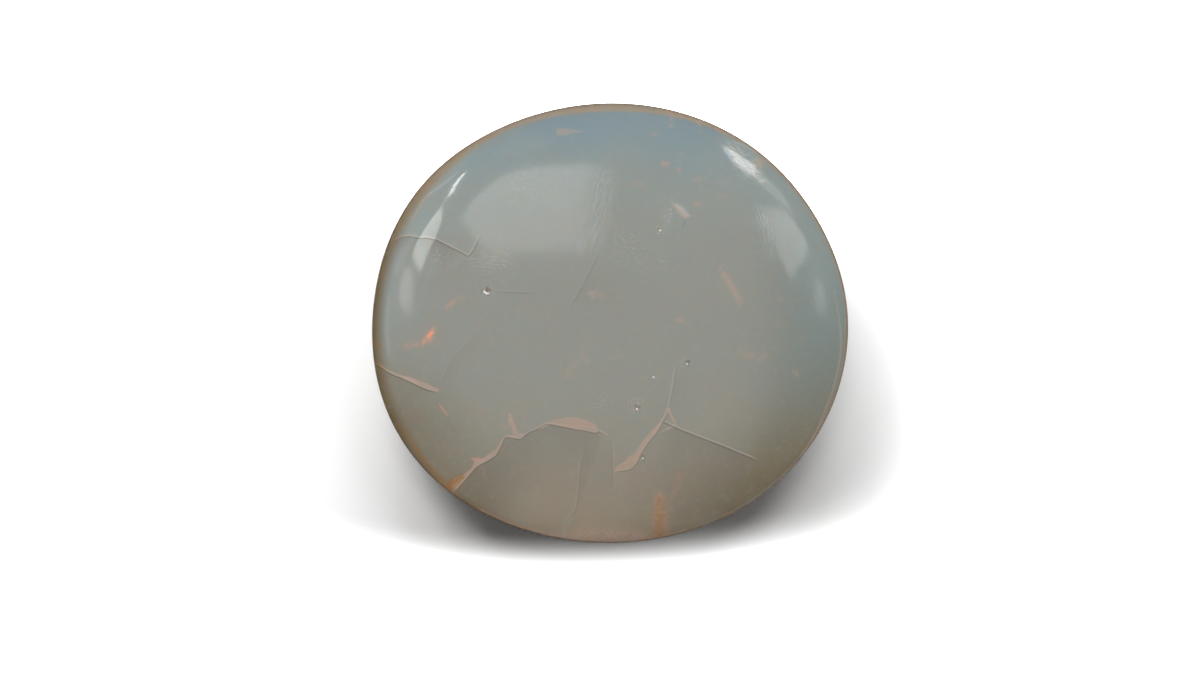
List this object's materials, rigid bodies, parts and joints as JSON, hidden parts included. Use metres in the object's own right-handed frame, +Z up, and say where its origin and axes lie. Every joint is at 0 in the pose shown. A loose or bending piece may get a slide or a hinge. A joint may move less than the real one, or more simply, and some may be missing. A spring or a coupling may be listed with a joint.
{
  "type": "polished opal stone",
  "caption": "Smooth, nearly round lens of milky blue-grey opal with a domed front, thin peach-coloured cracks, open pits in the polish and a flat face to rest on.",
  "frame": {"origin": "under the middle of the stone's outline, on the surface that the stone lies on", "axes": "+Z up through the domed face, +X along the stone's longest way across, to the right in the picture, +Y away from the viewer"},
  "size_m": [0.048, 0.0468, 0.0159],
  "materials": {
    "opal": "polished"
  },
  "bodies": {
    "root": {"opal": "opal"}
  },
  "joints": []
}
